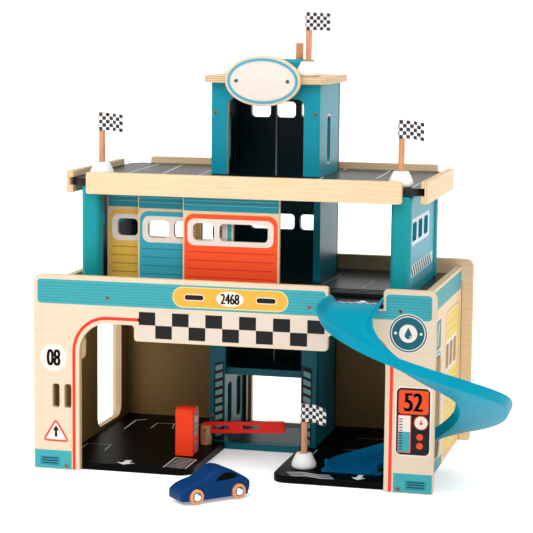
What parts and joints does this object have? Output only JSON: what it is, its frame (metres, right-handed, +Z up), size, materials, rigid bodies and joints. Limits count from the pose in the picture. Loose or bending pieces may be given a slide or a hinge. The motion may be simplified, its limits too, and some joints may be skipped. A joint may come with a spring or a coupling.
{
  "type": "toy parking garage with lift",
  "caption": "Wooden toy parking garage with hand-cranked lift, curved plastic ramp, sliding doors, barrier, fuel pump, flags and a small car.",
  "frame": {"origin": "on the floor, at the middle of the whole toy's footprint", "axes": "+X to the right along the facade, +Y from the facade to the back, +Z up"},
  "size_m": [0.5966, 0.499, 0.5653],
  "materials": {
    "plywood": "clear-lacquered birch plywood",
    "black_board": "black satin lacquer on plywood",
    "teal_paint": "satin teal paint on plywood",
    "dark_teal_paint": "satin dark teal paint on plywood",
    "sign_paint": "cream print on plywood",
    "ramp_plastic": "glossy blue moulded plastic",
    "pump_paint": "satin orange-red paint on a wooden block",
    "barrier_paint": "satin red paint on plywood",
    "yellow_paint": "satin ochre-yellow paint on plywood",
    "blue_paint": "satin blue paint on plywood",
    "red_paint": "satin red-orange paint on plywood",
    "beech": "bare turned beech",
    "white_paint": "satin white paint on turned wood",
    "cord": "braided grey cord",
    "banner_cloth": "printed cloth",
    "car_paint": "satin dark-blue paint on wood",
    "steel": "bright steel"
  },
  "bodies": {
    "garage": {"back_panel": "plywood", "barrier_pin": "steel", "barrier_post": "beech", "base_board": "black_board", "cord_guide": "steel", "cord_winding": "cord", "door_track_bottom": "black_board", "door_track_top": "black_board", "first_floor_deck": "black_board", "front_facade": "plywood", "fuel_pump": "pump_paint", "left_parapet": "plywood", "left_side_wall": "plywood", "lift_cord": "cord", "oval_sign": "sign_paint", "ramp_lower": "ramp_plastic", "ramp_upper": "ramp_plastic", "right_parapet": "plywood", "right_side_wall": "plywood", "roof_deck": "black_board", "roof_front_fascia": "plywood", "roof_rear_rail": "plywood", "shaft_back_wall": "dark_teal_paint", "shaft_front_frame": "dark_teal_paint", "shaft_left_wall": "teal_paint", "shaft_right_wall": "teal_paint", "tower_front_wall": "teal_paint", "tower_roof": "plywood", "upper_left_front_post": "teal_paint", "upper_left_panel": "teal_paint", "upper_left_rear_post": "teal_paint", "upper_right_front_post": "teal_paint", "upper_right_panel": "teal_paint", "upper_right_rear_post": "teal_paint"},
    "lift_cabin": {"lift_floor": "dark_teal_paint", "lift_roof": "dark_teal_paint", "lift_left_side": "dark_teal_paint", "lift_right_side": "dark_teal_paint"},
    "crank": {"crank_axle": "beech", "crank_arm": "teal_paint", "crank_handle": "beech"},
    "red_door": {"red_door": "red_paint"},
    "blue_door": {"blue_door": "blue_paint"},
    "yellow_door": {"yellow_door": "yellow_paint"},
    "barrier": {"barrier_arm": "barrier_paint"},
    "flag_left": {"flag_left_base": "white_paint", "flag_left_pole": "beech", "flag_left_banner": "banner_cloth"},
    "flag_right": {"flag_right_base": "white_paint", "flag_right_pole": "beech", "flag_right_banner": "banner_cloth"},
    "flag_tower": {"flag_tower_base": "white_paint", "flag_tower_pole": "beech", "flag_tower_banner": "banner_cloth"},
    "flag_ground": {"flag_ground_base": "white_paint", "flag_ground_pole": "beech", "flag_ground_banner": "banner_cloth"},
    "car": {"car_body": "car_paint"},
    "car_front_axle": {"car_front_wheels": "beech"},
    "car_rear_axle": {"car_rear_wheels": "beech"}
  },
  "joints": [
    {"name": "lift_slide", "type": "slide", "parent": "garage", "child": "lift_cabin", "axis": [0, 0, 1], "range_m": [0, 0.349], "deforming": ["lift_cord"]},
    {"name": "crank_turn", "type": "hinge", "parent": "garage", "child": "crank", "pos_m": [-0.0683, 0.16115, 0.485], "axis": [0, 0, 1], "range_deg": [0, 2127.8]},
    {"name": "red_door_slide", "type": "slide", "parent": "garage", "child": "red_door", "axis": [1, 0, 0], "range_m": [-0.1048, 0.137]},
    {"name": "blue_door_slide", "type": "slide", "parent": "garage", "child": "blue_door", "axis": [1, 0, 0], "range_m": [-0.0436, 0.1982]},
    {"name": "yellow_door_slide", "type": "slide", "parent": "garage", "child": "yellow_door", "axis": [1, 0, 0], "range_m": [0, 0.2418]},
    {"name": "barrier_swing", "type": "hinge", "parent": "garage", "child": "barrier", "pos_m": [-0.1183, 0.07225, 0.0285], "axis": [0, -1, 0], "range_deg": [-3.5, 80]},
    {"name": "car_roll", "type": "slide", "parent": "garage", "child": "car", "axis": [-0.6921, -0.7218, 0], "range_m": [-0.05, 0.15]},
    {"name": "car_front_wheel_spin", "type": "hinge", "parent": "car", "child": "car_front_axle", "pos_m": [-0.06599, -0.18624, 0.0092], "axis": [0.7218, -0.6921, 0], "range_deg": [-312, 936]},
    {"name": "car_rear_wheel_spin", "type": "hinge", "parent": "car", "child": "car_rear_axle", "pos_m": [-0.02654, -0.1451, 0.0092], "axis": [0.7218, -0.6921, 0], "range_deg": [-312, 936]},
    {"name": "flag_left_lift_off", "type": "slide", "parent": "garage", "child": "flag_left", "axis": [0, 0, 1], "range_m": [0, 0.06]},
    {"name": "flag_right_lift_off", "type": "slide", "parent": "garage", "child": "flag_right", "axis": [0, 0, 1], "range_m": [0, 0.06]},
    {"name": "flag_tower_lift_off", "type": "slide", "parent": "garage", "child": "flag_tower", "axis": [0, 0, 1], "range_m": [0, 0.06]},
    {"name": "flag_ground_lift_off", "type": "slide", "parent": "garage", "child": "flag_ground", "axis": [0, 0, 1], "range_m": [0, 0.06]}
  ],
  "couplings": [
    {"joint": "crank_turn", "follows": "lift_slide", "rad_per_m": 106.38},
    {"joint": "car_front_wheel_spin", "follows": "car_roll", "rad_per_m": 108.7},
    {"joint": "car_rear_wheel_spin", "follows": "car_roll", "rad_per_m": 108.7}
  ]
}
